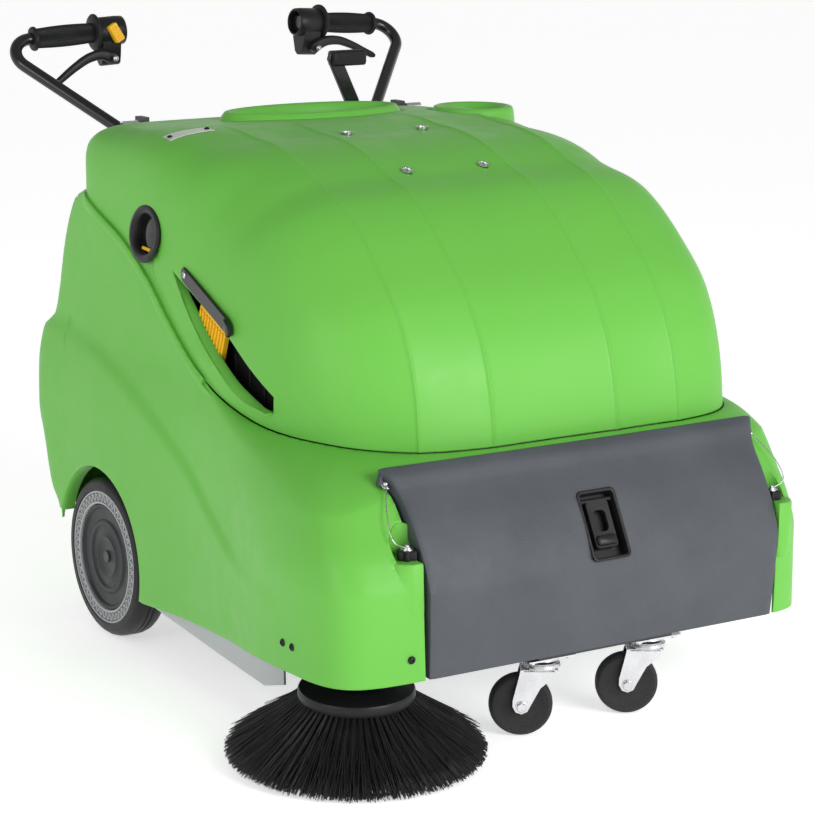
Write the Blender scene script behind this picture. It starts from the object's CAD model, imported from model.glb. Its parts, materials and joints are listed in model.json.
"""Looks of the walk-behind sweeper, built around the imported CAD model.

Numbers are in mm in machine coordinates: x = 0 on the hopper's mid-plane, y = 0 on the rear
axle and z = 0 on the floor.  world() turns them into metres in the shared frame.
"""
import json
from math import atan2, cos, degrees, hypot, pi, radians, sin

import bmesh
import bpy
import numpy as np
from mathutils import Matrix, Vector

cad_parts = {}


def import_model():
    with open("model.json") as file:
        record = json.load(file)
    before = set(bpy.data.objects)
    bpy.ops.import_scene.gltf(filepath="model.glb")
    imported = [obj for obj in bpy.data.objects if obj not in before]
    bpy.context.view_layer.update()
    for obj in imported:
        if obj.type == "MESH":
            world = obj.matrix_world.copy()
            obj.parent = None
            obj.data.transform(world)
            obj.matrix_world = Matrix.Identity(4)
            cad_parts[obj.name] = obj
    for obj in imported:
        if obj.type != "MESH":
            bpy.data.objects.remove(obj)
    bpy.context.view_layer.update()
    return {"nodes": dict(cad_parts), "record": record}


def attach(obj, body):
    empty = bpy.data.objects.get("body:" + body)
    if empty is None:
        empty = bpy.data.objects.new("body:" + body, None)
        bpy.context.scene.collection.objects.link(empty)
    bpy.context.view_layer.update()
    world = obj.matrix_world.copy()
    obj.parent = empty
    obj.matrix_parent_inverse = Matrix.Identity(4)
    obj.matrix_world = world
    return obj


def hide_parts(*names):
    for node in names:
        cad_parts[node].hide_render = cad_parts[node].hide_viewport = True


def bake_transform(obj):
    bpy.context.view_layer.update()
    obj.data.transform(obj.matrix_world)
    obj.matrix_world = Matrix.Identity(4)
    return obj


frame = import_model()
rng = np.random.default_rng(7)

SHIFT = np.array((82.76, 302.14, 0))
SEAM = [(101, 776), (6, 740), (-86, 704), (-175, 650), (-244, 593), (-345, 524), (-508, 473),
        (-662, 458), (-770, 449)]
AXIS_Y, AXIS_Z = -250, 440
HALF_WIDTH = 402
CROWN = [(98, 868), (0, 883), (-60, 887), (-165, 889), (-263, 880), (-390, 861), (-449, 838),
         (-530, 809), (-632, 730), (-703, 654), (-745, 574), (-765, 490), (-769, 449)]
LEFT_FULLNESS = [(43, 16), (52, 14), (75, 11), (95, 7), (110, 5), (150, 4.3), (165, 3.9),
                 (180, 3.5)]
RIGHT_FULLNESS = [(43, 8), (80, 6.3), (100, 6.5), (112, 6.3), (122, 7.8), (135, 8.3), (150, 8.7),
                  (165, 7.8), (180, 7.3)]
GROOVES = (-240, -117, 117, 240)
LEAF = [(-258, 677), (-339, 640), (-421, 604), (-501, 553), (-557, 519), (-556, 494),
        (-467, 508), (-386, 550), (-304, 619)]
INSERTS = [(-263, 877), (-449, 834)]
SIDE_SCREWS = [(-747, 190, -481), (-775, 190, -481)]
FRONT_SCREW = (-356, -908, 184)
COVER_WALL = 4.5
DUST_TOP = 0.12  # metres above the floor
AXLE_Z = 140
KNOB_X, KNOB_Y = 344, -877
POST_X, POST_Y = 232, 171
WINDOW_Y, WINDOW_Z = -169, 725.5
LEVER_X, LEVER_Y, LEVER_Z = 212, 331, 968
BRUSH_Y, BRUSH_Z = -230, 125.4
WIRE_RADIUS = 0.9
CABLE_ROUTE = [(262, -30, 428), (262, -30, 490), (214, 20, 520), (150, 62, 532),
               (118, 70, 536)]


def world(points):
    """Machine mm to metres in the shared frame."""
    return (np.asarray(points, float) + SHIFT) / 1000


# ---------------------------------------------------------------- curves

def table(pairs):
    """A smooth function through (x, y) pairs that never overshoots them."""
    xs, ys = np.array(sorted(pairs), float).T
    step = np.diff(xs)
    slope = np.diff(ys) / step
    both = slope[:-1] * slope[1:]
    middle = np.where(both > 0, 2 * both / np.where(both > 0, slope[:-1] + slope[1:], 1), 0)
    m = np.concatenate([[slope[0]], middle, [slope[-1]]])

    def at(x):
        x = np.clip(x, xs[0], xs[-1])
        i = np.clip(np.searchsorted(xs, x) - 1, 0, len(step) - 1)
        t = (x - xs[i]) / step[i]
        rise = ys[i + 1] - ys[i]
        bend = (1 - t) * m[i] - t * m[i + 1]
        return ys[i] + rise * t * t * (3 - 2 * t) + t * (1 - t) * step[i] * bend

    return at


def spline(points, count, closed=False):
    """Evenly spread points on a smooth curve through the given ones."""
    p = np.array(points, float)
    if closed:
        p = np.vstack([p[-2:], p, p[:3]])
    gaps = np.linalg.norm(np.diff(p, axis=0), axis=1)
    s = np.concatenate([[0], np.cumsum(gaps)])
    m = np.gradient(p, s, axis=0)
    first, last = (s[2], s[-3]) if closed else (s[0], s[-1])
    at = np.linspace(first, last, count, endpoint=not closed)
    i = np.clip(np.searchsorted(s, at) - 1, 0, len(s) - 2)
    h = (s[i + 1] - s[i])[:, None]
    t = (at[:, None] - s[i][:, None]) / h
    a = (1 + 2 * t) * (1 - t) ** 2 * p[i] + t * (1 - t) ** 2 * h * m[i]
    return a + t * t * (3 - 2 * t) * p[i + 1] - t * t * (1 - t) * h * m[i + 1]


def step_between(x, low, high):
    t = np.clip((x - low) / (high - low), 0, 1)
    return t * t * (3 - 2 * t)


# ---------------------------------------------------------------- materials

def set_values(node, values):
    for name, value in values.items():
        node.inputs[name].default_value = value


def add_node(tree, kind, values, links):
    """A shader node with its inputs set and linked."""
    node = tree.nodes.new(kind)
    set_values(node, values)
    for name, source in links.items():
        tree.links.new(source, node.inputs[name])
    return node


def link_noise(tree, place, scale, detail):
    return add_node(tree, "ShaderNodeTexNoise", {"Scale": scale, "Detail": detail},
                    {"Vector": place}).outputs["Fac"]


def map_range(tree, source, low, high, new_low, new_high):
    """Maps a value from one range to another."""
    limits = {"From Min": low, "From Max": high, "To Min": new_low, "To Max": new_high}
    return add_node(tree, "ShaderNodeMapRange", limits, {"Value": source}).outputs["Result"]


def spread(tree, value, low, high):
    """Maps a noise value to a range."""
    return map_range(tree, value, 0.3, 0.7, low, high)


def finish(name, color, rough, metallic=0, grain=500, bump=0.15, depth=0.0003, mottle=0.06,
           patch=5, stretch=(1, 1, 1), coat=0, specular=0.5, dust=0):
    """A procedural finish: surface grain, uneven gloss and slow colour variation."""
    material = bpy.data.materials.new(name)
    material.use_nodes = True
    tree = material.node_tree
    shader = tree.nodes["Principled BSDF"]
    set_values(shader, {"Metallic": metallic, "Specular IOR Level": specular,
                        "Coat Weight": coat, "Coat Roughness": 0.08})
    coordinates = tree.nodes.new("ShaderNodeTexCoord")
    place = add_node(tree, "ShaderNodeMapping", {"Scale": stretch},
                     {"Vector": coordinates.outputs["Object"]}).outputs["Vector"]
    slow = link_noise(tree, coordinates.outputs["Object"], patch, 4)
    fine = link_noise(tree, place, grain, 3)
    shade = tree.nodes.new("ShaderNodeMix")
    shade.data_type = "RGBA"
    shade.inputs["A"].default_value = (*[c * (1 - mottle) for c in color], 1)
    shade.inputs["B"].default_value = (*[min(1, c * (1 + mottle) + 0.004) for c in color], 1)
    both = tree.nodes.new("ShaderNodeMath")
    both.operation = "MULTIPLY_ADD"
    both.inputs[1].default_value = 0.35
    tree.links.new(fine, both.inputs[0])
    tree.links.new(spread(tree, slow, 0, 0.65), both.inputs[2])
    tree.links.new(both.outputs[0], shade.inputs["Factor"])
    tint = shade.outputs["Result"]
    if dust:
        tint = add_dust(tree, tint, fine, dust)
    tree.links.new(tint, shader.inputs["Base Color"])
    middle = link_noise(tree, place, patch * 9, 5)
    tree.links.new(spread(tree, middle, rough - 0.05, rough + 0.06), shader.inputs["Roughness"])
    relief = add_node(tree, "ShaderNodeBump", {"Strength": bump, "Distance": depth},
                      {"Height": fine})
    tree.links.new(relief.outputs["Normal"], shader.inputs["Normal"])
    return material


def add_dust(tree, tint, fine, amount):
    """Pale dust that thickens towards the floor."""
    position = tree.nodes.new("ShaderNodeTexCoord")
    split = add_node(tree, "ShaderNodeSeparateXYZ", {}, {0: position.outputs["Object"]})
    fade = map_range(tree, split.outputs["Z"], DUST_TOP, 0, 0, 1)
    share = tree.nodes.new("ShaderNodeMath")
    share.operation = "MULTIPLY"
    tree.links.new(fade, share.inputs[0])
    tree.links.new(spread(tree, fine, 0, amount), share.inputs[1])
    mix = tree.nodes.new("ShaderNodeMix")
    mix.data_type = "RGBA"
    mix.inputs["B"].default_value = (0.30, 0.28, 0.25, 1)
    tree.links.new(tint, mix.inputs["A"])
    tree.links.new(share.outputs[0], mix.inputs["Factor"])
    return mix.outputs["Result"]


LOOKS = {
    "green_shell": ((0.130, 0.45, 0.058), 0.42, dict(grain=900, bump=0.10, mottle=0.035, patch=3,
                    specular=0.25)),
    "grey_panel": ((0.064, 0.071, 0.082), 0.52, dict(grain=420, bump=0.6, depth=0.0007,
                   mottle=0.16, patch=8, specular=0.3)),
    "black_plastic": ((0.007, 0.007, 0.008), 0.40, dict(grain=700, bump=0.2, mottle=0.2,
                      specular=0.28)),
    "yellow_plastic": ((0.78, 0.43, 0.008), 0.40, dict(grain=700, bump=0.1, specular=0.25)),
    "black_paint": ((0.006, 0.006, 0.007), 0.2, dict(grain=350, bump=0.06, coat=0.35, mottle=0.2,
                    specular=0.3)),
    "frame_paint": ((0.030, 0.030, 0.034), 0.45, dict(grain=400, bump=0.15, mottle=0.2, dust=0.5)),
    "zinc": ((0.66, 0.66, 0.68), 0.24, dict(metallic=1, grain=300, bump=0.06, mottle=0.12,
             patch=30)),
    "steel": ((0.56, 0.56, 0.58), 0.25, dict(metallic=1, grain=500, bump=0.05, mottle=0.08,
              patch=20)),
    "label_metal": ((0.62, 0.66, 0.60), 0.38, dict(metallic=0.35, grain=600, bump=0.08,
                    stretch=(1, 12, 1))),
    "rubber": ((0.009, 0.009, 0.010), 0.6, dict(grain=800, bump=0.25, mottle=0.2, specular=0.22,
               dust=0.12)),
    "grip_rubber": ((0.007, 0.007, 0.008), 0.55, dict(grain=900, bump=0.25, mottle=0.2,
                    specular=0.25)),
    "tyre": ((0.008, 0.008, 0.009), 0.45, dict(grain=700, bump=0.2, mottle=0.25, specular=0.25,
             dust=0.12)),
    "rim_grey": ((0.36, 0.37, 0.38), 0.42, dict(grain=700, bump=0.12)),
    "bristle": ((0.006, 0.006, 0.007), 0.42, dict(grain=900, bump=0.2, mottle=0.3, specular=0.3,
                dust=0.06)),
    "pane": ((0.004, 0.004, 0.005), 0.08, dict(grain=200, bump=0.02, mottle=0.2, specular=0.35)),
    "grey_plastic": ((0.42, 0.44, 0.45), 0.48, dict(grain=600, bump=0.2)),
    "motor_paint": ((0.045, 0.045, 0.05), 0.40, dict(grain=450, bump=0.15)),
    "filter_paper": ((0.66, 0.62, 0.50), 0.75, dict(grain=900, bump=0.4, stretch=(1, 6, 1))),
    "battery_case": ((0.020, 0.022, 0.024), 0.42, dict(grain=500, bump=0.25, specular=0.3)),
    "cable_rubber": ((0.26, 0.015, 0.012), 0.45, dict(grain=600, bump=0.2)),
    "cast": ((0.22, 0.22, 0.23), 0.42, dict(metallic=0.8, grain=350, bump=0.35, mottle=0.15)),
    "belt": ((0.02, 0.02, 0.021), 0.6, dict(grain=300, bump=0.5, stretch=(6, 1, 1))),
}
FINISHES = {name: finish(name, color, rough, **look)
            for name, (color, rough, look) in LOOKS.items()}
for part in frame["record"]["subparts"]:
    node = frame["nodes"][part["node"]]
    node.data.materials.clear()
    node.data.materials.append(FINISHES[part["material_slot"]])


# ---------------------------------------------------------------- mesh building

def linked(name, data):
    obj = bpy.data.objects.new(name, data)
    bpy.context.scene.collection.objects.link(obj)
    return obj


def as_object(name, verts, faces, slot):
    mesh = bpy.data.meshes.new(name)
    mesh.from_pydata([tuple(v) for v in world(verts)], [], faces)
    mesh.materials.append(FINISHES[slot])
    return linked(name, mesh)


def applied(obj):
    """The object's modifiers worked into its mesh."""
    bpy.context.view_layer.update()
    graph = bpy.context.evaluated_depsgraph_get()
    mesh = bpy.data.meshes.new_from_object(obj.evaluated_get(graph))
    obj.modifiers.clear()
    obj.data = mesh
    return obj


def merged(obj, distance=0.00002):
    """Doubled vertices joined and all faces turned outwards."""
    bm = bmesh.new()
    bm.from_mesh(obj.data)
    bmesh.ops.remove_doubles(bm, verts=bm.verts, dist=distance)
    bmesh.ops.recalc_face_normals(bm, faces=bm.faces)
    bm.to_mesh(obj.data)
    bm.free()
    return obj


def sheet(name, points, slot="green_shell", closed_rows=False, distance=0.00002):
    """An open surface through a grid of points."""
    verts, faces = skin(points, closed_rows)
    return merged(as_object(name, verts, faces, slot), distance)


def smooth(obj, angle=35):
    obj.data.polygons.foreach_set("use_smooth", [True] * len(obj.data.polygons))
    obj.data.set_sharp_from_angle(angle=radians(angle))
    return obj


def bevelled(obj, width, segments=2, angle=40):
    bevel = obj.modifiers.new("bevel", "BEVEL")
    bevel.width = width / 1000
    bevel.segments = segments
    bevel.limit_method = "ANGLE"
    bevel.angle_limit = radians(angle)
    bevel.harden_normals = True
    return obj


def thickened(obj, depth):
    solid = obj.modifiers.new("thickness", "SOLIDIFY")
    solid.thickness = depth / 1000
    solid.offset = -1
    return applied(obj)


def cut(obj, cutters, operation="DIFFERENCE"):
    for cutter in cutters:
        step = obj.modifiers.new("cut", "BOOLEAN")
        step.object = cutter
        step.operation = operation
        step.solver = "EXACT"
    applied(obj)
    for cutter in cutters:
        bpy.data.objects.remove(cutter)
    return obj


def placed(obj, body, slot, *nodes):
    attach(obj, body)
    if nodes:
        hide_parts(*nodes)
    return obj


def fitted(shape, name, body, slot, *nodes, **look):
    """Builds a shape and hangs it on a body."""
    return placed(shape.build(name, slot, **look), body, slot, *nodes)


def frame_of(origin, z_axis, x_hint=(1, 0, 0)):
    """A local frame: its origin, and a matrix whose columns are its axes."""
    z = np.array(z_axis, float) / np.linalg.norm(z_axis)
    x = np.array(x_hint, float) - np.dot(x_hint, z) * z
    x /= np.linalg.norm(x)
    return np.array(origin, float), np.array([x, np.cross(z, x), z]).T


def upright(x, y, z=0):
    return np.array((x, y, z)), np.eye(3)


def along_x(origin, side=1):
    """A frame whose z axis is the machine's x axis, or its opposite."""
    return frame_of(origin, (side, 0, 0), (0, 1, 0))


FLAT = (np.zeros(3), np.eye(3))


class Shape:
    """Collects closed solids, each given in a local frame, into one mesh."""

    def __init__(self):
        self.verts = []
        self.faces = []

    def add(self, verts, faces, place=FLAT):
        origin, axes = place
        base = len(self.verts)
        self.verts += list(np.asarray(verts, float) @ axes.T + origin)
        self.faces += [tuple(base + i for i in face) for face in faces]
        return self

    def loft(self, rings, place=FLAT, caps=True):
        """Skins closed rings of equal length."""
        n = len(rings[0])
        faces = []
        for i in range(len(rings) - 1):
            for j in range(n):
                k = (j + 1) % n
                faces.append((i * n + j, i * n + k, (i + 1) * n + k, (i + 1) * n + j))
        if caps:
            faces.append(tuple(range(n))[::-1])
            faces.append(tuple((len(rings) - 1) * n + j for j in range(n)))
        return self.add([p for ring in rings for p in ring], faces, place)

    def lathe(self, profile, place=FLAT, count=64, closed=False):
        """Turns an (r, z) profile about the local z axis."""
        turn = [2 * pi * j / count for j in range(count)]
        rings = [[(r * cos(a), r * sin(a), z) for a in turn] for r, z in profile]
        if closed:
            rings.append(rings[0])
        return self.loft(rings, place, caps=not closed)

    def rod(self, r, z0, z1, place=FLAT, count=32, soft=0.8):
        c = min(soft, r * 0.3, (z1 - z0) * 0.3)
        profile = [(r - c, z0), (r, z0 + c), (r, z1 - c), (r - c, z1)]
        return self.lathe(profile, place, count)

    def block(self, low, high, place=FLAT):
        (a, b, c), (d, e, f) = low, high
        rings = [[(a, b, z), (d, b, z), (d, e, z), (a, e, z)] for z in (c, f)]
        return self.loft(rings, place)

    def prism(self, outline, z0, z1, place=FLAT):
        return self.loft([[(u, v, z) for u, v in outline] for z in (z0, z1)], place)

    def tube(self, path, radius, count=24, scale=None):
        """A round tube along points; scale(i) may change its radius along the way."""
        p = np.array(path, float)
        along = np.gradient(p, axis=0)
        along /= np.linalg.norm(along, axis=1)[:, None]
        side = np.cross(along[0], (0.31, 0.17, 0.93))
        side /= np.linalg.norm(side)
        rings = []
        for i, t in enumerate(along):
            side = side - np.dot(side, t) * t
            side /= np.linalg.norm(side)
            up = np.cross(t, side)
            r = radius * (scale[i] if scale is not None else 1)
            turn = [2 * pi * j / count for j in range(count)]
            rings.append([p[i] + r * (cos(a) * side + sin(a) * up) for a in turn])
        return self.loft(rings)

    def build(self, name, slot, soft=0, angle=35, segments=2):
        obj = merged(as_object(name, self.verts, self.faces, slot), 0.000001)
        smooth(obj, angle)
        if soft:
            bevelled(obj, soft, segments)
        return obj


SIDEWAYS = along_x((0, 0, 0))


def rounded(w, h, r, count=6):
    """Outline of a rectangle with round corners, centred on the origin."""
    points = []
    for cx, cy, start in ((w / 2 - r, h / 2 - r, 0), (r - w / 2, h / 2 - r, 90),
                          (r - w / 2, r - h / 2, 180), (w / 2 - r, r - h / 2, 270)):
        for i in range(count + 1):
            a = radians(start + 90 * i / count)
            points.append((cx + r * cos(a), cy + r * sin(a)))
    return points


def skin(points, closed_rows=False):
    """Faces of a grid of points given as an array of rows."""
    rows, columns = points.shape[:2]
    faces = []
    for i in range(rows - 1 + closed_rows):
        k = (i + 1) % rows
        for j in range(columns - 1):
            a, b = i * columns + j, k * columns + j
            faces.append((a, a + 1, b + 1, b))
    return points.reshape(-1, 3), faces


def normals(points):
    across = np.gradient(points, axis=1)
    along = np.gradient(points, axis=0)
    n = np.cross(across, along)
    return n / np.maximum(np.linalg.norm(n, axis=2), 1e-9)[..., None]


# ---------------------------------------------------------------- camera, light, floor

def add_camera():
    data = bpy.data.cameras.new("camera")
    data.sensor_width = 36
    data.lens = 122.31
    camera = linked("camera", data)
    camera.location = (-2.35999, -3.89568, 1.40035)
    camera.rotation_euler = (radians(77.875), 0, radians(-32.3))
    bpy.context.scene.camera = camera


def add_light(name, place, target, size, power):
    data = bpy.data.lights.new(name, "AREA")
    data.shape = "RECTANGLE"
    data.size, data.size_y = size
    data.energy = power
    light = linked(name, data)
    light.location = place
    direction = Vector(target) - Vector(place)
    light.rotation_euler = direction.to_track_quat("-Z", "Y").to_euler()


def add_studio():
    scene = bpy.context.scene
    scene.view_settings.view_transform = "Standard"
    scene.world = bpy.data.worlds.new("studio")
    scene.world.use_nodes = True
    tree = scene.world.node_tree
    background = tree.nodes["Background"]
    direction = tree.nodes.new("ShaderNodeTexCoord")
    height = add_node(tree, "ShaderNodeSeparateXYZ", {}, {0: direction.outputs["Generated"]})
    fade = map_range(tree, height.outputs["Z"], 0.05, 0.6, 1.05, 0.35)
    tree.links.new(fade, background.inputs["Strength"])
    background.inputs["Color"].default_value = (1, 1, 1, 1)
    add_light("key", (0.9, -4.2, 1.9), (0, -0.2, 0.5), (2.4, 1.8), 120)
    add_light("side", (-3.8, -1.2, 1.9), (0, 0, 0.5), (1.6, 2.0), 30)
    far = 60000
    corners = [(-far, -far, 0), (far, -far, 0), (far, far, 0), (-far, far, 0)]
    floor = as_object("floor", corners, [(0, 1, 2, 3)], "rim_grey")
    white = finish("floor_white", (0.9, 0.9, 0.9), 0.8, grain=60, bump=0.02, mottle=0.005)
    glow = white.node_tree.nodes["Principled BSDF"].inputs
    glow["Emission Color"].default_value = (1, 1, 1, 1)
    glow["Emission Strength"].default_value = 0.55
    floor.data.materials[0] = white


# ---------------------------------------------------------------- hood

def seam_height(y):
    return np.interp(y, SEAM_LINE[::-1, 0], SEAM_LINE[::-1, 1])


SEAM_LINE = spline(SEAM, 300)
SEAM_ANGLE = np.degrees(np.arctan2(SEAM_LINE[:, 1] - AXIS_Z, SEAM_LINE[:, 0] - AXIS_Y))
SEAM_RADIUS = np.hypot(SEAM_LINE[:, 1] - AXIS_Z, SEAM_LINE[:, 0] - AXIS_Y)
FIRST, LAST = 49.5, 176.0
INNER = 300


def crown_radius():
    polar = [(degrees(atan2(z - AXIS_Z, y - AXIS_Y)), hypot(y - AXIS_Y, z - AXIS_Z))
             for y, z in CROWN]
    rear = [(a, 351 / cos(radians(a))) for a in (42, 44, 46, 48, 49.5)]
    return table([*rear, *polar])


def hood_columns():
    """Positions across the middle of the hood, closer together at the grooves."""
    xs = set(np.linspace(-INNER, INNER, 75).round(2))
    for groove in GROOVES:
        xs = {x for x in xs if abs(x - groove) > 9}
        xs |= {groove + d for d in (-8, -5.5, -3.5, -2, -1, 0, 1, 2, 3.5, 5.5, 8)}
    return np.array(sorted(xs))


def hood_relief(x, y, angle):
    """How far the hood's outside stands off its plain form."""
    lift = np.zeros_like(x)
    fade = step_between(angle, 70, 88)
    edges = [-372, *GROOVES, 372]
    for a, b in zip(edges[:-1], edges[1:]):
        inside = (x > a) & (x < b)
        lift += np.where(inside, 3.2 * np.abs(np.sin(pi * (x - a) / (b - a))) ** 0.8, 0) * fade
    for groove in GROOVES:
        lift -= 2.4 * np.exp(-((x - groove) / 2.6) ** 2) * fade
    ring = np.hypot(x / 155, (y + 30) / 75) - 1
    up = angle < 100
    lift += up * 11 * np.exp(-(np.abs(ring) / 0.085) ** 3)
    lift += up * 4 * (ring < 0) * (1 - step_between(ring, -0.25, -0.05))
    cup = np.hypot(x - 282, y + 105) / 70 - 1
    lift += up * 9 * np.exp(-(np.abs(cup) / 0.13) ** 3)
    lift -= up * 5 * (1 - step_between(cup, -0.3, -0.1))
    return lift


def hood_surface():
    """Rows run from the rear edge over the crown to the front edge, columns left to right."""
    radius = crown_radius()
    left_fullness, right_fullness = table(LEFT_FULLNESS), table(RIGHT_FULLNESS)
    main = np.linspace(FIRST, LAST, 170)
    strip = np.linspace(0, 1, 11)[1:]
    xs = hood_columns()
    outer = np.linspace(0, 1, 37)[1:]
    seam_angle, order = np.sort(SEAM_ANGLE), np.argsort(SEAM_ANGLE)

    def edge_part(n, angle):
        """x and share of the crown radius from the inner columns out to the hood's edge."""
        rs = np.interp(angle, seam_angle, SEAM_RADIUS[order])
        a1 = np.arccos((INNER / HALF_WIDTH) ** (n / 2))
        a2 = np.arcsin(min(1, rs / radius(angle)) ** (n / 2))
        a = a1 + (a2 - a1) * outer
        return HALF_WIDTH * np.cos(a) ** (2 / n), np.sin(a) ** (2 / n)

    def section(angle):
        """x and share of the crown radius across one row."""
        left, right = left_fullness(angle), right_fullness(angle)
        n = left + (right - left) * step_between(xs, -INNER, INNER)
        share = (1 - (np.abs(xs) / HALF_WIDTH) ** n) ** (1 / n)
        left_x, left_share = edge_part(left, angle)
        right_x, right_share = edge_part(right, angle)
        x = np.concatenate([-left_x[::-1], xs, right_x])
        return x, np.concatenate([left_share[::-1], share, right_share])

    rows = []
    for angle in main:
        x, share = section(angle)
        rows.append((x, share, np.full_like(x, angle)))
    for limit, guess, front in ((FIRST, 45.0, False), (LAST, 178.0, True)):
        x, share = section(limit)
        edge = np.full_like(x, guess)
        for _ in range(40):
            y = AXIS_Y + radius(edge) * share * np.cos(np.radians(edge))
            edge = np.degrees(np.arctan2(seam_height(y) - AXIS_Z, y - AXIS_Y))
        for t in strip:
            rows.insert(len(rows) if front else 0, (x, share, limit + t * (edge - limit)))
    x, share, angle = (np.array(part) for part in zip(*rows))
    r = radius(angle) * share
    y = AXIS_Y + r * np.cos(np.radians(angle))
    z = AXIS_Z + r * np.sin(np.radians(angle))
    points = np.stack([x, y, z], axis=2)
    return points + normals(points) * hood_relief(x, y, angle)[..., None]


def cutter(shape):
    return shape.build("cutter", "green_shell")


def prism_x(outline, x0, x1):
    return cutter(Shape().prism(outline, x0, x1, SIDEWAYS))


def ellipse(a, b, count=48):
    return [(a * cos(2 * pi * i / count), b * sin(2 * pi * i / count)) for i in range(count)]


def smooth_leaf(count=40):
    """The leaf's outline: two smooth sides that meet at its points."""
    upper = spline(LEAF[:5], count)
    lower = spline([LEAF[5], *LEAF[6:], LEAF[0]], count)
    return np.vstack([upper, lower[:-1]])


def build_hood(points):
    obj = sheet("hood_cover", points, distance=0.00005)
    thickened(obj, COVER_WALL)
    cutters = [prism_x([tuple(p) for p in smooth_leaf()], -450, -340),
               prism_x([(WINDOW_Y + a, WINDOW_Z + b) for a, b in ellipse(44, 39.5)], -450, -330)]
    for y, z in INSERTS:
        for x in (-74, 74):
            cutters.append(cutter(Shape().rod(8, z - 60, z + 60, upright(x, y))))
    cut(obj, cutters)
    bevelled(obj, 1.4, 2, 55)
    applied(obj)
    smooth(obj, 40)
    return placed(obj, "hood_body", "green_shell", "hood")


def build_leaf_lip():
    """The green return along the lower left side of the side opening."""
    low = smooth_leaf(60)[60:]
    along = np.gradient(low, axis=0)
    along /= np.linalg.norm(along, axis=1)[:, None]
    inward = np.column_stack([-along[:, 1], along[:, 0]])
    if np.dot(inward[30], np.array((-410, 590)) - low[30]) < 0:
        inward = -inward
    ends = np.minimum(np.linspace(0, 1, len(low)), np.linspace(1, 0, len(low)))
    width = 9 * step_between(ends, 0, 0.25)
    rows = []
    for share, x in ((-0.15, -400.5), (0, -399), (0.3, -396), (1, -390), (1.05, -387)):
        at = low + inward * (width * share)[:, None]
        rows.append(np.column_stack([np.full(len(at), x), at]))
    obj = thickened(sheet("leaf_lip", np.array(rows).transpose(1, 0, 2)), 2.5)
    return placed(smooth(obj, 50), "hood_body", "green_shell")


# ---------------------------------------------------------------- lower body

REAR_Y = table([(110, 184), (193, 188), (231, 219), (317, 247), (369, 265), (440, 265),
                (507, 256), (536, 225), (559, 215), (670, 183), (745, 143), (776, 103),
                (900, 100)])
FRONT_Y = table([(100, -908), (148, -908), (280, -908), (322, -893), (371, -858), (428, -812),
                 (445, -792), (452, -773), (900, -771)])
LEFT_X = table([(-908, 503), (-790, 500), (-680, 485), (-500, 445), (-300, 424), (0, 420),
                (150, 414), (265, 414)])
LEFT_TOP = table([(60, 500), (280, 500), (380, 470), (450, 437), (520, 412), (650, 405),
                  (900, 402)])
RIGHT_TOP = table([(60, 415), (400, 415), (520, 410), (650, 405), (900, 402)])
FENDER = table([(-760, 268), (-672, 250), (-560, 262), (-440, 310), (-330, 372), (-150, 450),
                (60, 510), (260, 530)])


def wall_half_width(x, y, z):
    left = (LEFT_X(y) ** -30.0 + LEFT_TOP(z) ** -30.0) ** (-1 / 30)
    swell = 7 * step_between(FENDER(y) - z, -12, 16) * step_between(y, -800, -420)
    left = left + swell - 5
    return np.where(x < 0, left, RIGHT_TOP(z))


def body_surface(hood):
    """Rows follow the hood's edge round the machine, columns run outwards and down."""
    left, right = hood[:, 0], hood[:, -1]
    front, rear = hood[-1], hood[0]
    loop = np.vstack([left[:-1], front[:-1], right[::-1][:-1], rear[::-1][:-1]])
    keep = np.concatenate([[True], np.linalg.norm(np.diff(loop, axis=0), axis=1) > 0.5])
    edge = spline(loop[keep][::2], 560, closed=True)
    inner = np.column_stack([np.clip(edge[:, 0], -150, 150), np.clip(edge[:, 1], -520, -60)])
    away = edge[:, :2] - inner
    away /= np.linalg.norm(away, axis=1)[:, None]

    def outside(z):
        low, high = np.zeros(len(edge)), np.full(len(edge), 900.0)
        for _ in range(26):
            t = (low + high) / 2
            x, y = (inner + away * t[:, None]).T
            u = np.abs(x) / wall_half_width(x, y, z)
            end = np.where(y < -300, -300 - FRONT_Y(z), REAR_Y(z) + 300)
            v = np.abs(y + 300) / end
            sharp = np.where(y < -300, 13, 36)
            out = u ** sharp + v ** sharp > 1
            high, low = np.where(out, t, high), np.where(out, low, t)
        return np.column_stack([inner + away * t[:, None], z])

    top = edge + np.column_stack([away * 2.2, np.full(len(edge), -1.5)])
    corner = outside(top[:, 2])
    reach = np.maximum(np.linalg.norm(corner[:, :2] - top[:, :2], axis=1), 1)
    drop = np.minimum(8 + 0.55 * reach, 60)
    shoulder = outside(top[:, 2] - drop)
    corner[:, 2] -= 1.5
    columns = [top + np.array((0, 0, -14)), top + np.array((0, 0, -4))]
    for t in np.linspace(0, 1, 12):
        columns.append((1 - t) ** 2 * top + 2 * t * (1 - t) * corner + t * t * shoulder)
    low = outside(np.full(len(edge), 160.0))
    bottom = np.interp(-low[:, 1], (-153, -152, 100, 172, 700, 770),
                       (193, 106, 104, 100, 144, 148))
    for t in np.linspace(0, 1, 58)[1:]:
        columns.append(outside(shoulder[:, 2] * (1 - t) + bottom * t))
    return np.array(columns).transpose(1, 0, 2)


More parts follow.
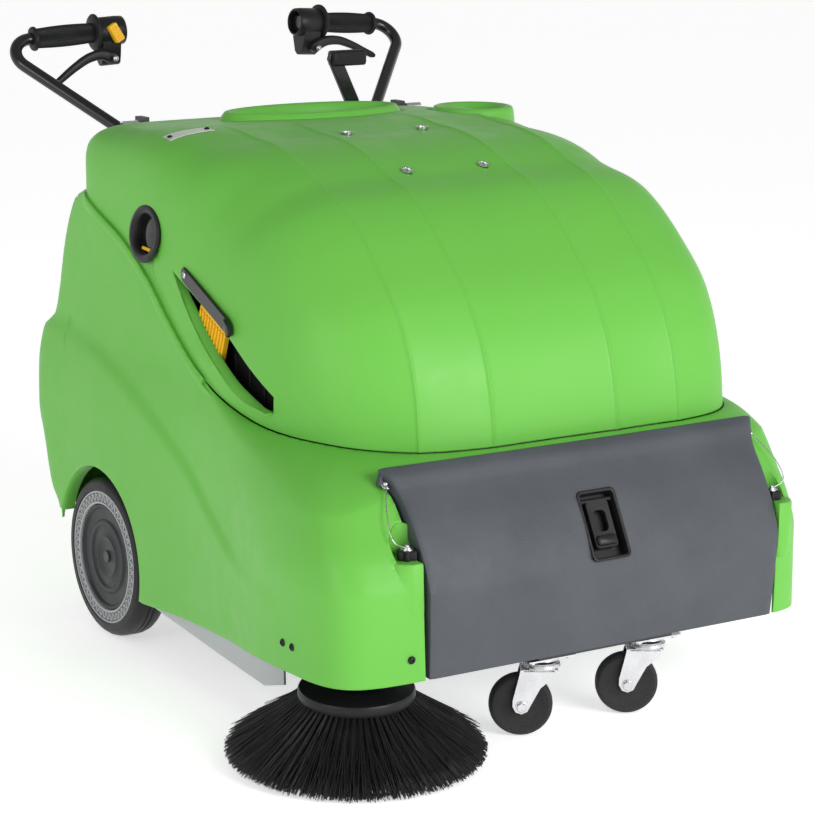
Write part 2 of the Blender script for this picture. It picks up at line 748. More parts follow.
def build_body(points):
    obj = sheet("body_cover", points, closed_rows=True)
    thickened(obj, COVER_WALL)
    side = [(331, 60), (331, 148), (335, 286), (338, 400), (343, 432), (343, 438)]
    front = [(x, -z) for x, z in side] + [(-x, -z) for x, z in reversed(side)]
    facing = frame_of((0, 0, 0), (0, 1, 0), (1, 0, 0))
    bosses = []
    for side in (-1, 1):
        place = upright(side * KNOB_X, KNOB_Y)
        boss = [(0.05, 240), (30, 240), (33, 258), (33, 325), (31, 328), (0.05, 328)]
        bosses.append(cutter(Shape().lathe(boss, place, 64)))
    cut(obj, bosses, "UNION")
    cutters = [cutter(Shape().prism(front, -1000, -800, facing)),
               cutter(Shape().block((-352, -930, 436), (352, -800, 470))),
               cutter(Shape().block((-420, -960, 200), (420, -909, 470)))]
    wheel = along_x((0, 0, AXLE_Z))
    cutters.append(cutter(Shape().rod(161, -600, 600, wheel, 128)))
    for side in (-1, 1):
        post = upright(side * POST_X, POST_Y)
        cutters.append(cutter(Shape().rod(14, 560, 900, post)))
        pocket = upright(side * KNOB_X, KNOB_Y)
        cutters.append(cutter(Shape().rod(27, 328, 500, pocket, 48)))
    cut(obj, cutters)
    bevelled(obj, 1.4, 2, 55)
    applied(obj)
    smooth(obj, 40)
    return placed(obj, "machine", "green_shell", "body_shell")


# ---------------------------------------------------------------- trim on the hood

def hood_point(hood, a, b, axes):
    """The hood's surface point nearest to (a, b) on two axes, on the left or top side."""
    flat = hood.reshape(-1, 3)
    flat = flat[(flat[:, 0] < 0) | (axes == (0, 1))]
    if axes == (0, 1):
        flat = flat[flat[:, 2] > 780]
    far = np.hypot(flat[:, axes[0]] - a, flat[:, axes[1]] - b)
    near = np.argsort(far)[:4]
    return np.average(flat[near], axis=0, weights=1 / (far[near] + 0.5))


def screw_head(shape, place, r=5):
    """A domed head with a round drive recess."""
    shape.lathe([(r, 0), (r, r * 0.25), (r * 0.8, r * 0.5), (r * 0.45, r * 0.62),
                 (r * 0.4, r * 0.35), (0.05, r * 0.35)], place, 24)


def build_label(hood):
    """The bare metal plate near the hood's rear left corner."""
    rows = []
    corners = [np.array(p) for p in ((-354, -138), (-272, -138), (-272, -168), (-354, -168))]
    for u in np.linspace(0, 1, 22):
        a = corners[0] * (1 - u) + corners[1] * u
        b = corners[3] * (1 - u) + corners[2] * u
        row = []
        for v in np.linspace(0, 1, 7):
            x, y = a * (1 - v) + b * v
            row.append((x, y, hood_point(hood, x, y, (0, 1))[2] + 1.6))
        rows.append(row)
    obj = thickened(sheet("rating_plate", np.array(rows), "label_metal"), 1.2)
    bevelled(smooth(obj, 40), 0.4)
    placed(obj, "hood_body", "label_metal", "label_plate")
    screws = Shape()
    for u in (0.08, 0.92):
        x, y = (corners[0] + corners[3]) / 2 * (1 - u) + (corners[1] + corners[2]) / 2 * u
        z = hood_point(hood, x, y, (0, 1))[2] + 1.5
        screw_head(screws, frame_of((x, y, z), (-0.15, -0.1, 1)), 4.5)
    fitted(screws, "rating_plate_screws", "hood_body", "black_plastic")


def build_window(hood):
    """The oval black grommet and dark pane in the hood's left wall."""
    x = hood_point(hood, WINDOW_Y, WINDOW_Z, (1, 2))[0]
    place = frame_of((x - 0.5, WINDOW_Y, WINDOW_Z), (-0.99, 0, 0.13), (0, -1, 0))
    a, b = 42, 37.5
    rings = []
    for grow, z in ((-2, -16), (-1, 0), (9, 0), (10.5, 1.5), (10.5, 4), (8, 6), (3, 6.5),
                    (-1.5, 5.5), (-4, 3), (-5.5, -4), (-6.5, -14)):
        rings.append([(u, v, z) for u, v in ellipse(a + grow, b + grow, 72)])
    bezel = Shape().loft(rings + [rings[0]], place, caps=False)
    fitted(bezel, "window_grommet", "hood_body", "black_plastic", "window_bezel", angle=50)
    pane = Shape()
    rings = [[(u * s, v * s, z) for u, v in ellipse(a - 5, b - 5, 72)]
             for s, z in ((1, -12), (1, -9), (0.8, -7.2), (0.5, -6), (0.2, -5.4), (0.02, -5.3))]
    pane.loft(rings, place)
    fitted(pane, "window_lens", "hood_body", "pane", "window_pane", angle=60)
    sliver = Shape().prism([(-20, -27), (8, -29), (12, -23), (-18, -22)], -8, -4, place)
    fitted(sliver, "window_marker", "hood_body", "yellow_plastic", soft=0.5)


def build_lever_plate(hood):
    outline = [(-291, 683), (-298, 688), (-306, 685), (-440, 626), (-452, 616), (-455, 602),
               (-447, 598), (-438, 601), (-296, 664), (-290, 670)]
    x = hood_point(hood, -370, 650, (1, 2))[0]
    plate = Shape().prism(outline, x - 6.5, x - 1.5, SIDEWAYS)
    plate.prism([(y, z) for y, z in outline[3:7]], x - 12, x - 6.5, SIDEWAYS)
    fitted(plate, "lever_cover", "hood_body", "black_paint", "lever_plate", soft=1.2)
    screws = Shape()
    for y, z in ((-303, 676), (-441, 610)):
        screw_head(screws, along_x((x - 6.3, y, z), -1), 5.5)
    fitted(screws, "lever_cover_screws", "hood_body", "steel")


def build_brush_lever():
    """The yellow ribbed pad on its black arm."""
    corners = [(-407, 597), (-378, 523), (-298, 570), (-324, 630)]
    pad = Shape().prism(corners, -386, -377, SIDEWAYS)
    p = np.array(corners, float)
    for u in np.linspace(0.08, 0.92, 9):
        top, bottom = p[0] + (p[3] - p[0]) * u, p[1] + (p[2] - p[1]) * u
        top, bottom = top * 0.93 + bottom * 0.07, top * 0.06 + bottom * 0.94
        half = (p[3] - p[0]) / np.linalg.norm(p[3] - p[0]) * 2
        pad.prism([top - half, bottom - half, bottom + half, top + half], -388.5, -385.5,
                  SIDEWAYS)
    fitted(pad, "brush_lever_pad", "brush_lever_body", "yellow_plastic", "brush_lever", soft=0.9)
    arm = Shape().prism([(-364, 322), (-336, 322), (-345, 535), (-378, 545)], -384, -378, SIDEWAYS)
    arm.lathe([(9, -6), (16, -6), (17, -4), (17, 12), (15, 14), (9, 14)],
              along_x((-380, -350, 330)), closed=True)
    fitted(arm, "brush_lever_arm", "brush_lever_body", "black_plastic", soft=1)


def build_rims():
    """The rounded lips of the two shallow trays moulded into the top of the hood."""
    shapes = (("tray_rim", -6, -30, 161, 76, 887,
               [(-12, -10), (-10, 3), (-7, 9), (-1, 11.5), (5, 11), (9, 6), (13, -1), (18, -10)]),
              ("cup_rim", 282, -105, 64, 66, 888,
               [(-13, -16), (-10, -1), (-6, 4), (0, 5), (4, 4), (6.5, 0), (8, -8), (9.5, -50)]))
    for name, x, y, a, b, z, section in shapes:
        rows = []
        for t in np.linspace(0, 2 * pi, 144, endpoint=False):
            out = np.array((b * cos(t), a * sin(t)))
            out /= np.linalg.norm(out)
            rows.append([(x + a * cos(t) + d * out[0], y + b * sin(t) + d * out[1], z + h)
                         for d, h in spline(section, 22)])
        obj = thickened(sheet(name, np.array(rows), closed_rows=True), 2)
        placed(smooth(obj, 60), "hood_body", "green_shell")


def build_inserts():
    """Threaded metal inserts flush with the hood's top, each round a dark hole."""
    metal, dark = Shape(), Shape()
    for y, z in INSERTS:
        for x in (-74, 74):
            lean = (0, -0.05, 1) if y > -300 else (0, -0.3, 1)
            place = frame_of((x, y, z + 5), lean)
            metal.lathe([(6.8, -22), (6.8, -1), (7.4, 0.4), (9, 0.8), (10, 0.2), (10, -2),
                         (7.6, -3), (7.6, -22)], place, 40, closed=True)
            dark.rod(6.7, -20, -6, place)
    fitted(metal, "insert_rings", "hood_body", "steel", "hood_inserts")
    fitted(dark, "insert_plugs", "hood_body", "black_plastic")


def build_liner():
    """The black guard that closes the machine's inside behind the side opening."""
    guard = Shape().prism([(-572, 440), (-110, 440), (-110, 700), (-250, 715), (-330, 700),
                           (-572, 560)], -362, -358, SIDEWAYS)
    for y in range(-540, -230, 46):
        guard.block((-366, y, 450), (-361, y + 5, 560))
    fitted(guard, "inner_guard", "machine", "black_plastic", soft=1)


# ---------------------------------------------------------------- hopper front

PANEL = [(-800, 449), (-808, 452), (-819, 447), (-838, 421), (-876, 371), (-903, 323),
         (-914, 294), (-917, 281), (-916.5, 262), (-914, 215), (-908, 148)]
LATCH = frame_of((0, -894, 337.5), (0, -0.885, 0.465))


def build_panel():
    profile = spline(PANEL, 140)
    along = np.gradient(profile, axis=0)
    along /= np.linalg.norm(along, axis=1)[:, None]
    back = np.column_stack([-along[:, 1], along[:, 0]])
    half = table([(148, 323), (286, 328), (400, 331), (430, 337), (444, 343), (452, 350)])
    half = half(profile[:, 1])
    bow = 5 * step_between(profile[:, 1], 330, 440)
    columns = []
    returns = (26, 5, 1.5)
    marks = [(-1, depth) for depth in returns] + [(u, 0) for u in np.linspace(-1, 1, 70)[1:-1]]
    marks += [(1, depth) for depth in returns[::-1]]
    for u, depth in marks:
        edge = 1.5 if abs(u) > 0.98 and depth < 3 else 0
        at = profile + back * depth
        x = u * half - np.sign(u) * edge * (depth == 0)
        columns.append(np.column_stack([x, at[:, 0] - bow * (1 - u * u), at[:, 1]]))
    points = np.array(columns).transpose(1, 0, 2)
    obj = thickened(sheet("hopper_front", points, "grey_panel"), 3.5)
    hole = Shape().prism(rounded(69, 109, 8), -40, 30, LATCH).build("cutter", "grey_panel")
    cut(obj, [hole])
    bevelled(obj, 0.9, 2, 55)
    applied(obj)
    smooth(obj, 40)
    placed(obj, "hopper_body", "grey_panel", "hopper_panel")


def build_latch():
    rings = []
    for w, h, r, z in ((69, 109, 8, -22), (69, 109, 8, 0.4), (72, 112, 9, 0.6), (72, 112, 9, 1.8),
                       (70, 110, 8, 2.6), (65, 105, 6, 2.6), (62, 102, 5, 1.4), (60, 100, 5, -17)):
        rings.append([(u, v, z) for u, v in rounded(w, h, r)])
    tray = Shape().loft(rings, LATCH).build("latch_tray", "black_plastic", angle=40)
    placed(tray, "hopper_body", "black_plastic", "latch_frame")
    handle = Shape()
    rings = []
    for grow, z in ((0, -10), (0, -4.5), (-1.2, -3.2), ("hole", -3.6), ("hole", -10)):
        if grow == "hole":
            rings.append([(u, v + 7, z) for u, v in rounded(23, 34, 8)])
        else:
            rings.append([(u, v + 2, z) for u, v in rounded(42 + grow, 76 + grow, 7)])
    handle.loft(rings + [rings[0]], LATCH, caps=False)
    lip = frame_of(LATCH[0] + LATCH[1] @ np.array((0, -24, -4)), LATCH[1] @ np.array((0, 0, 1)),
                   (1, 0, 0))
    handle.loft([[(u, v, z) for u, v in rounded(36 - g, 16 - g, 5)]
                 for z, g in ((-2, 0), (3, 0), (5, 2), (6, 5))], lip)
    axle = along_x(LATCH[0] + LATCH[1] @ np.array((0, 40, -7)))
    handle.rod(3.6, -29.6, 29.6, axle)
    fitted(handle, "latch_paddle", "latch_body", "black_plastic", "latch_handle", angle=40)


# ---------------------------------------------------------------- wheels

def build_wheel(side, label):
    out = along_x((0, 0, AXLE_Z), side)
    body = f"wheel_{label}_body"
    tyre = [(115.5, 352), (115.5, 411.5), (118, 413), (122, 413), (124, 412.2), (128, 412.2),
            (130, 411.3), (134, 408.5), (137.6, 403.5), (139.6, 397), (140, 391), (140, 388.5),
            (138.6, 388), (138.6, 386), (140, 385.5), (140, 379), (138.6, 378.5), (138.6, 376.5),
            (140, 376), (140, 373), (139.6, 367), (137.6, 360.5), (134, 355.5), (130, 352.7)]
    fitted(Shape().lathe(tyre, out, 128, closed=True), f"wheel_tyre_{label}", body, "tyre",
           f"tyre_{label}", angle=30)
    rim = [(116, 353), (116, 411), (114.8, 412), (113, 411.6), (112.4, 408), (97.6, 408),
           (97, 411.6), (95, 412), (93.6, 411), (93, 405), (93, 394), (60, 391), (26, 392),
           (24, 390), (24, 346), (27, 344), (60, 352), (100, 352)]
    ring = Shape().lathe(rim, out, 128, closed=True)
    for i in range(96):
        a = 2 * pi * i / 96
        lean = 0.035 if i % 2 else -0.035
        p = np.array((97.3 * cos(a - lean), 97.3 * sin(a - lean)))
        q = np.array((112.7 * cos(a + lean), 112.7 * sin(a + lean)))
        n = np.array((-(q - p)[1], (q - p)[0])) / np.linalg.norm(q - p) * 0.9
        ring.prism([p - n, q - n, q + n, p + n], 407.5, 411, out)
    fitted(ring, f"wheel_rim_{label}", body, "rim_grey", f"rim_{label}", angle=30)
    disc = [(0.05, 398), (92.4, 398), (92.4, 407), (91, 408.6), (87, 408.8), (84, 405),
            (66, 403.5), (62, 406.5), (57, 407), (53, 404), (40, 404.5), (36, 407),
            (32, 406.5), (28, 404.5), (0.05, 404.5)]
    cap = Shape().lathe(disc, out, 96)
    for i in range(4):
        a = pi * (0.25 + i / 2)
        screw_head(cap, frame_of(out[0] + out[1] @ np.array((9 * cos(a), 9 * sin(a), 404.5)),
                                 (side, 0, 0), (0, 1, 0)), 2.6)
    obj = cap.build(f"wheel_cap_{label}", "battery_case", angle=30)
    placed(obj, body, "battery_case")


def build_pockets():
    """The green hollows behind the two knobs, from the ledge up to the sloping front."""
    levels = np.linspace(300, 452, 120)
    for side in (-1, 1):
        rows = []
        for a in np.radians(np.linspace(-25, 205, 70)):
            x, y = KNOB_X + 27.5 * cos(a), KNOB_Y + 27.5 * sin(a)
            u = (x / 415) ** 13
            front = -300 - (-300 - FRONT_Y(levels)) * (1 - u) ** (1 / 13)
            top = np.interp(y, front, levels) + 0.5
            rows.append([(side * x, y, z) for z in np.linspace(327, max(top, 327.5), 12)])
        obj = sheet("knob_pocket", np.array(rows))
        placed(smooth(thickened(obj, 2), 50), "machine", "green_shell")


def build_skirt():
    """The grey flap along the left lower edge."""
    outline = [(-150, 132), (-600, 150), (-603, 70), (-540, 52), (-400, 64), (-150, 88)]
    flap = Shape().prism(outline, -398, -394, SIDEWAYS)
    for y in (-190, -330, -470, -580):
        flap.rod(4, -400, -397.5, along_x((0, y, 112)))
    fitted(flap, "side_flap", "machine", "grey_plastic", "side_skirt", soft=1)


def build_arch_lips():
    """The rolled inner edge of both wheel arches."""
    for side, name in ((-1, "left"), (1, "right")):
        rows = []
        for a in np.radians(np.linspace(19, 195, 120)):
            half = 419 if side < 0 else 413
            rows.append([(side * x, r * cos(a), AXLE_Z + r * sin(a))
                         for x, r in ((half - 2, 162.5), (half - 3, 161), (half - 10, 160),
                                      (half - 26, 160))])
        obj = thickened(sheet(f"arch_lip_{name}", np.array(rows)), 2.5)
        placed(smooth(obj, 50), "machine", "green_shell")


# ---------------------------------------------------------------- casters

def build_caster(side, label):
    x, y = side * 102 + 27, -823 - 17
    place = frame_of((x, y, 0), (0, 0, 1), (-27, 17, 0))
    plate = Shape()
    level = upright(x, y)
    plate.loft([[(u, v, z) for u, v in rounded(90, 66, 6)] for z in (128, 131)], level)
    for u in (-34, 34):
        for v in (-23, 23):
            plate.rod(5.5, 123.5, 128, upright(x + u, y + v), 6)
    plate.lathe([(27, 128), (28, 124), (24, 121), (12, 120), (0.05, 120)], level, 48)
    obj = plate.build(f"caster_plate_{label}", "zinc", 0.5)
    if side < 0:
        placed(obj, "machine", "zinc", "caster_plates")
    else:
        placed(obj, "machine", "zinc")
    fork = Shape()
    crown = [(10.5, 119.5), (26, 119.5), (29, 117), (30, 113), (28, 110), (24, 107), (10.5, 106)]
    fork.lathe(crown, place, 48, closed=True)
    for s in (-1, 1):
        outline = [(-25, 109), (33, 109), (37, 92), (45, 60), (45, 50), (40, 41), (31, 38),
                   (22, 42), (17, 52), (2, 80), (-18, 97)]
        cheek = frame_of((x, y, 0), place[1] @ np.array((0, s, 0)),
                         place[1] @ np.array((1, 0, 0)))
        turned = [(u, -s * v) for u, v in outline]
        fork.prism(turned, 17.3, 20.3, cheek)
        hub = frame_of((x, y, 0) + place[1] @ np.array((31.9, 0, 50)),
                       place[1] @ np.array((0, s, 0)), (0, 0, 1))
        fork.rod(9, 20.3, 21.6, hub, 32, 0.3)
        fork.rod(7.5, 21.6, 26.5, hub, 6, 0.8)
    fork.loft([[(u + 4, v, z) for u, v in rounded(58, 40.6, 5)] for z in (106, 109.5)], place)
    fitted(fork, f"caster_yoke_{label}", f"caster_{label}_body", "zinc", f"caster_fork_{label}",
           soft=0.7)
    axle = frame_of((x, y, 0) + place[1] @ np.array((31.9, 0, 50)), place[1] @ np.array((0, 1, 0)),
                    (0, 0, 1))
    tread = [(6, -15.5), (14, -15.5), (15, -13), (30, -11), (36, -13.2), (44, -13.6), (48, -11),
             (49.6, -6), (50, 0), (49.6, 6), (48, 11), (44, 13.6), (36, 13.2), (30, 11),
             (15, 13), (14, 15.5), (6, 15.5)]
    fitted(Shape().lathe(tread, axle, 72, closed=True), f"caster_tread_{label}",
           f"caster_wheel_{label}_body", "rubber", f"caster_wheel_{label}", angle=30)


# ---------------------------------------------------------------- brushes

def build_strands(name, curves, radii, slot):
    """Thin three-sided bristles; curves is (bristles, points, 3)."""
    along = np.gradient(curves, axis=1)
    along /= np.linalg.norm(along, axis=2)[..., None]
    side = np.cross(along, np.array((0.3, 0.9, 0.31)))
    side /= np.linalg.norm(side, axis=2)[..., None]
    up = np.cross(along, side)
    turn = np.array((0, 2 * pi / 3, 4 * pi / 3))
    ring = np.cos(turn)[:, None] * side[:, :, None] + np.sin(turn)[:, None] * up[:, :, None]
    points = curves[:, :, None] + ring * np.asarray(radii)[None, :, None, None]
    count, length = curves.shape[:2]
    faces = []
    for b in range(count):
        base = b * length * 3
        for i in range(length - 1):
            for j in range(3):
                k = (j + 1) % 3
                a = base + i * 3
                faces.append((a + j, a + k, a + 3 + k, a + 3 + j))
        end = base + (length - 1) * 3
        faces.append((end, end + 1, end + 2))
    obj = as_object(name, points.reshape(-1, 3), faces, slot)
    obj.data.polygons.foreach_set("use_smooth", [True] * len(obj.data.polygons))
    return obj


SIDE_BRUSH = frame_of((-379, -788, 15.6), (-0.0286, -0.0673, 0.9973))


def build_side_brush():
    disc = [(9, 86), (84, 84), (88, 87), (89, 91), (89, 99), (87, 103), (82, 104), (62, 105),
            (58, 108), (44, 111), (40, 112), (9, 112)]
    plate = Shape().lathe(disc, SIDE_BRUSH, 96, closed=True)
    for i in range(3):
        a = 2 * pi * i / 3
        spot = SIDE_BRUSH[0] + SIDE_BRUSH[1] @ np.array((50 * cos(a), 50 * sin(a), 107))
        screw_head(plate, frame_of(spot, SIDE_BRUSH[1] @ np.array((0, 0, 1))), 6)
    fitted(plate, "side_brush_plate", "side_brush_body", "black_plastic", "side_brush_disc",
           angle=35)
    rows = ((84, 200, 1.5, 64, 34), (78, 194, 1.0, 60, 34), (70, 180, 0.4, 54, 26),
            (60, 160, 0.3, 48, 18))
    curves = []
    for root, reach, lift, tufts, each in rows:
        for i in range(tufts):
            centre = 2 * pi * (i + 0.5 * (root % 4 > 1)) / tufts
            turn = centre + rng.normal(0, 0.012, each)
            tip_turn = centre + rng.normal(0, 0.050, each) + 0.02
            tip = reach - np.abs(rng.normal(0, 6, each))
            height = np.abs(rng.normal(0, 1, each)) * 4 * lift + rng.uniform(0.3, 2, each)
            start = root + rng.normal(0, 1.5, each)
            for a, b, r, h, s in zip(turn, tip_turn, tip, height, start):
                t = np.linspace(0, 1, 7)
                radius = s + (r - s) * (0.82 * t + 0.18 * t * t)
                angle = a + (b - a) * t ** 1.5
                z = 88 * (1 - t) + h * t + 9 * t * (1 - t)
                curves.append(np.column_stack([radius * np.cos(angle), radius * np.sin(angle), z]))
    curves = np.array(curves) @ SIDE_BRUSH[1].T + SIDE_BRUSH[0]
    radii = np.linspace(0.85, 0.6, 7)
    obj = build_strands("side_brush_fibres", curves, radii, "bristle")
    placed(obj, "side_brush_body", "bristle", "side_brush_bristles")
    core = [(58, 87), (80, 87), (176, 12), (168, 6), (120, 6)]
    fitted(Shape().lathe(core, SIDE_BRUSH, 72, closed=True), "side_brush_bed",
           "side_brush_body", "bristle")


def build_main_brush():
    curves = []
    for row in range(8):
        for x in np.arange(-244, 245, 6.5):
            turn = 2 * pi * row / 8 + 0.9 * x / 250
            for _ in range(7):
                a = turn + rng.normal(0, 0.02)
                b = a + rng.normal(0, 0.035)
                s = x + rng.normal(0, 1.6)
                t = np.linspace(0, 1, 4)
                r = 41 + (84 - rng.uniform(0, 2)) * t
                angle = a + (b - a) * t
                curves.append(np.column_stack([s + rng.normal(0, 1.2) * t,
                                               BRUSH_Y + r * np.cos(angle),
                                               BRUSH_Z + r * np.sin(angle)]))
    obj = build_strands("main_brush_fibres", np.array(curves), np.linspace(0.9, 0.7, 4), "bristle")
    placed(obj, "main_brush_body", "bristle", "main_brush_bristles")


# ---------------------------------------------------------------- handles and controls

def rounded_path(points, radii, step=4):
    """Straight runs joined by arcs, as a list of points."""
    p = [np.array(q, float) for q in points]
    path = [p[0]]
    for i, radius in enumerate(radii, 1):
        a = (p[i - 1] - p[i]) / np.linalg.norm(p[i - 1] - p[i])
        b = (p[i + 1] - p[i]) / np.linalg.norm(p[i + 1] - p[i])
        half = np.arccos(np.clip(a @ b, -1, 1)) / 2
        middle = (a + b) / np.linalg.norm(a + b)
        centre = p[i] + middle * radius / np.sin(half)
        start, end = p[i] + a * radius / np.tan(half), p[i] + b * radius / np.tan(half)
        u, v = start - centre, end - centre
        span = np.arccos(np.clip(u @ v / radius ** 2, -1, 1))
        for t in np.linspace(0, 1, int(span * radius / step) + 3):
            turned = np.sin((1 - t) * span) * u + np.sin(t * span) * v
            path.append(centre + turned / np.sin(span))
    path.append(p[-1])
    return np.array(path)


def build_handles():
    bars = Shape()
    route = [(190, 350, 1015), (432, 365, 1001), (POST_X, POST_Y, 828), (POST_X, POST_Y, 240)]
    path = rounded_path(route, [36, 60])
    for side in (-1, 1):
        bars.tube(path * (side, 1, 1), 11, 32)
    fitted(bars, "handle_bars", "machine", "black_paint", "handle_tubes", angle=40)
    grips, housings, screws = Shape(), Shape(), Shape()
    for side in (-1, 1):
        out = np.array((side * 255, 16, -15), float)
        bar = frame_of((side * 190, 350, 1015), out, (0, 0, 1))
        rings = []
        for z in np.linspace(48, 158, 22):
            crown = 17 + 2 * sin(pi * (z - 48) / 110)
            ring = []
            for a in np.linspace(0, 2 * pi, 204, endpoint=False):
                r = crown + 0.55 * cos(34 * a)
                ring.append((r * cos(a), r * sin(a), z))
            rings.append(ring)
        grips.loft(rings, bar)
        end = [(11, 158), (18, 157), (21.5, 159), (22, 162), (20.5, 165), (11, 166)]
        grips.lathe(end, bar, 64, closed=True)
        grips.lathe([(11, 41), (31, 41), (33.5, 43), (33.5, 46), (31, 48.5), (20, 50), (11, 50)],
                    bar, 64, closed=True)
        shell = [(25, 41), (26.5, 38), (26.5, 4), (25.5, -8), (24, -10), (21.5, -10),
                 (20.5, -7), (20.5, 20), (12, 22), (12, 41)]
        housings.lathe(shell, bar, 48, closed=True)
        drop = [(12, -20), (12, 20), (-20, 21), (-44, 15), (-57, 10), (-61, 3), (-61, -6),
                (-55, -13), (-30, -21)]
        housings.prism(drop if side > 0 else [(u, -v) for u, v in reversed(drop)], 2, 38, bar)
        screw_head(screws, frame_of((side * LEVER_X, 313, LEVER_Z), (0, -1, 0)), 5)
    fitted(grips, "handle_grips", "machine", "grip_rubber", "grips", angle=50)
    obj = housings.build("control_bodies", "black_plastic", angle=40)
    bevelled(obj, 2.5, 3, 50)
    placed(obj, "machine", "black_plastic", "control_housings")
    fitted(screws, "control_screws", "machine", "steel")


def build_grip_lever(side, label):
    """A curved squeeze lever, thick at its pivot and thin at the tip."""
    if side > 0:
        route = [(LEVER_X, LEVER_Z), (234, 978), (262, 979), (294, 969), (322, 956), (344, 946)]
    else:
        route = [(LEVER_X, LEVER_Z), (230, 974), (254, 970), (284, 954), (312, 934), (331, 920)]
    spine = spline(route, 26)
    across = np.gradient(spine, axis=0)
    across /= np.linalg.norm(across, axis=1)[:, None]
    rings = []
    for i, (x, z) in enumerate(spine):
        t = i / 25
        thick, wide = 11 - 5.2 * t ** 0.7 - 2.4 * (t > 0.96), 7 - 1.5 * t
        normal = np.array((-across[i, 1], across[i, 0]))
        ring = []
        for u, v in rounded(2 * thick, 2 * wide, 0.42 * min(2 * thick, 2 * wide), 4):
            px, pz = np.array((x, z)) + normal * u
            ring.append((side * px, LEVER_Y + v, pz))
        rings.append(ring)
    lever = Shape().loft(rings)
    lever.rod(9, -7.5, 7.5, frame_of((side * LEVER_X, LEVER_Y, LEVER_Z), (0, 1, 0)))
    fitted(lever, f"squeeze_lever_{label}", f"lever_{label}_body", "black_plastic",
           f"lever_{label}", angle=40)


def build_rocker():
    place = frame_of((-207, 321, 1013), (0, -1, 0.12), (0.87, 0, 0.5))
    pad = Shape().loft([[(u, v, z) for u, v in rounded(18 - g, 34 - g, 3)]
                        for z, g in ((-6, 0), (4, 0), (6, 2))], place)
    for v in np.linspace(-12, 12, 7):
        pad.block((-6.5, v - 1, 5.5), (6.5, v + 1, 7.2), place)
    fitted(pad, "rocker_pad", "rocker_body", "yellow_plastic", "rocker", soft=0.4)


def build_drive_lever():
    arm = Shape()
    outline = [(172, 790), (199, 790), (199, 886), (166, 956), (154, 978), (138, 973),
               (134, 962), (172, 880)]
    facing = frame_of((0, 0, 0), (0, 1, 0), (1, 0, 0))
    arm.prism([(x, -z) for x, z in outline], 146, 155, facing)
    fitted(arm, "drive_lever_arm", "drive_lever_body", "black_paint", "drive_lever", soft=2.2,
           segments=3)
    grip = Shape().loft([[(x, v + 151, u + 963) for u, v in rounded(28 - g, 26 - g, 6)]
                         for x, g in ((141, 6), (143, 1), (146, 0), (206, 0), (209, 1), (211, 6))])
    for z in (954, 960, 966, 972):
        grip.block((148, 137.2, z - 1.6), (206, 139.5, z + 1.6))
        grip.block((148, 162.5, z - 1.6), (206, 164.8, z + 1.6))
    fitted(grip, "drive_lever_grip", "drive_lever_body", "grip_rubber", soft=0.5, angle=40)
    hub = Shape().rod(12, 170, 200, along_x((0, 151, 790)))
    fitted(hub, "drive_lever_hub", "drive_lever_body", "black_plastic")


# ---------------------------------------------------------------- knobs and lanyards

LANYARD = [(343, -820, 428), (355, -834, 411), (367, -860, 386), (371, -876, 362),
           (362, -880, 351), (349.4, -878, 347.8)]


def build_knob(side, label):
    at = upright(side * KNOB_X, KNOB_Y)
    head = Shape()
    rings = []
    for z, grow in ((328.6, -1.2), (329.6, 0), (341.5, 0), (343, -1.5), (343.4, -4)):
        ring = []
        for a in np.linspace(0, 2 * pi, 96, endpoint=False):
            r = 14.4 + grow + 2.0 * cos(6 * a)
            ring.append((r * cos(a), r * sin(a), z))
        rings.append(ring)
    head.loft(rings, at)
    fitted(head, f"lobed_knob_{label}", f"knob_{label}_body", "black_plastic", f"knob_{label}",
           angle=30)
    stud = Shape().lathe([(0.05, 312), (4, 312), (4, 343), (10, 343.2), (10, 344.6), (7.4, 344.8),
                          (7.4, 346), (5.8, 346.2), (5.8, 347.6), (3.6, 348), (3.4, 350),
                          (2, 351), (0.05, 351)], at, 40)
    fitted(stud, f"knob_stud_{label}", f"knob_{label}_body", "zinc")


def route_line(points, name):
    """Points along the smooth line that the route's control points give."""
    data = bpy.data.curves.new(name, "CURVE")
    data.dimensions = "3D"
    line = data.splines.new("NURBS")
    line.points.add(len(points) - 1)
    for point, place in zip(line.points, world(points)):
        point.co = (*place, 1)
    line.order_u = 3
    line.use_endpoint_u = True
    line.resolution_u = 24
    return linked(name, data)


def line_points(obj):
    bpy.context.view_layer.update()
    graph = bpy.context.evaluated_depsgraph_get()
    mesh = bpy.data.meshes.new_from_object(obj.evaluated_get(graph))
    return np.array([v.co for v in mesh.vertices])


def build_lanyard(side, label):
    """The thin wire between the body's ball screw and the knob's stud."""
    points = [(side * x, y, z) for x, y, z in LANYARD]
    line = route_line(points, "lanyard_line")
    path = line_points(line)
    bpy.data.objects.remove(line)
    machine = path * 1000 - SHIFT
    obj = Shape().tube(machine, WIRE_RADIUS, 10).build(f"lanyard_wire_{label}", "steel", angle=50)
    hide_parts(f"lanyard_{label}")
    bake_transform(obj)


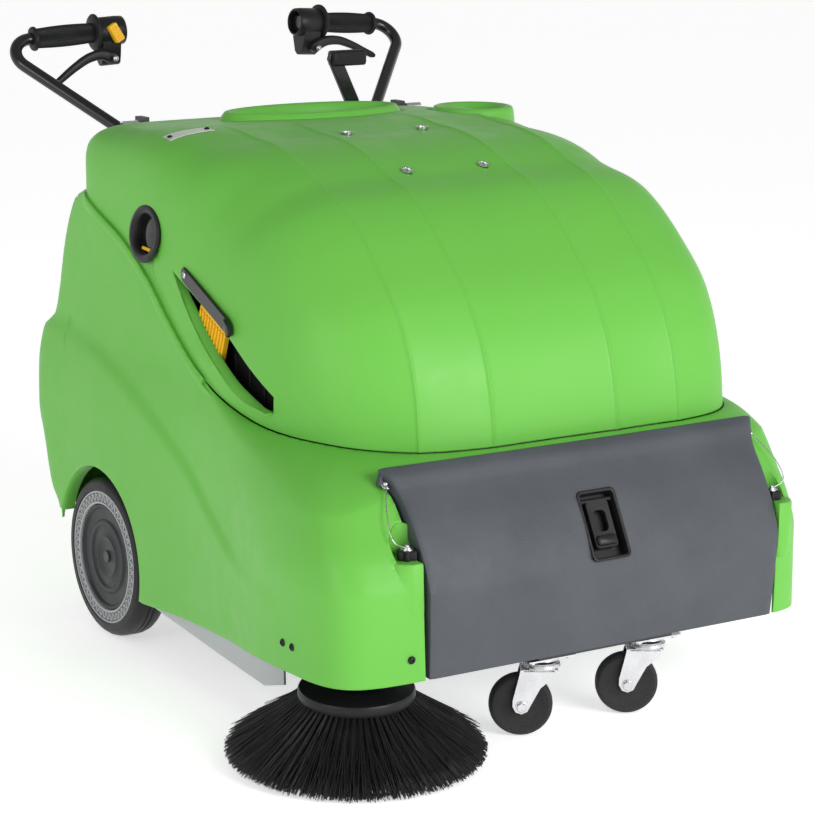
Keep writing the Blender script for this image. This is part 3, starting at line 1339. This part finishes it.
def build_body_screws():
    trim = Shape()
    for side in (-1, 1):
        ball = frame_of((side * 343, -815, 429), (0, -0.75, 0.66))
        trim.lathe([(0.05, -8), (2.5, -8), (2.5, -4), (5.6, -3.6), (5.6, -2.4), (4.4, -2),
                    (5, 0), (4.2, 2.8), (2.4, 4.4), (0.05, 5)], ball, 32)
        loop = [(side * 343 + 6.6 * cos(a), -816.5 + 4.4 * sin(a), 428 + 5 * sin(a))
                for a in np.linspace(-1.2, 4.3, 30)]
        trim.tube(loop, WIRE_RADIUS, 10)
        ferrule = frame_of((side * 343.6, -821.5, 426), (side * 0.26, -0.61, -0.75))
        trim.rod(1.9, -3.5, 4, ferrule, 16, 0.4)
    fitted(trim, "lanyard_ball_screws", "machine", "steel", "body_screws", angle=45)
    dark = Shape()
    for y, z, x in SIDE_SCREWS:
        screw_head(dark, frame_of((x, y, z), (-1, 0, 0.03), (0, 1, 0)), 6)
    screw_head(dark, frame_of(FRONT_SCREW, (0, -1, 0)), 6)
    fitted(dark, "body_side_screws", "machine", "black_plastic")


def build_cables():
    for side, label in ((-1, "left"), (1, "right")):
        line = route_line([(side * x, y, z) for x, y, z in CABLE_ROUTE],
                          f"battery_cable_{label}")
        path = line_points(line)
        line.data.bevel_depth = 0.004
        line.data.bevel_resolution = 6
        line.data.materials.append(FINISHES["cable_rubber"])
        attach(line, "machine")
        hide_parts("battery_cables")


add_camera()
add_studio()
for lanyard_side, lanyard_label in ((-1, "left"), (1, "right")):
    build_lanyard(lanyard_side, lanyard_label)
build_cables()
hood_points = hood_surface()
build_hood(hood_points)
build_leaf_lip()
build_label(hood_points)
build_window(hood_points)
build_lever_plate(hood_points)
build_rims()
build_inserts()
build_brush_lever()
build_liner()
build_body(body_surface(hood_points))
build_arch_lips()
build_pockets()
build_skirt()
build_body_screws()
build_panel()
build_latch()
build_side_brush()
build_main_brush()
build_handles()
build_rocker()
build_drive_lever()
for name_side, name in ((-1, "left"), (1, "right")):
    build_wheel(name_side, name)
    build_caster(name_side, name)
    build_grip_lever(name_side, name)
    build_knob(name_side, name)
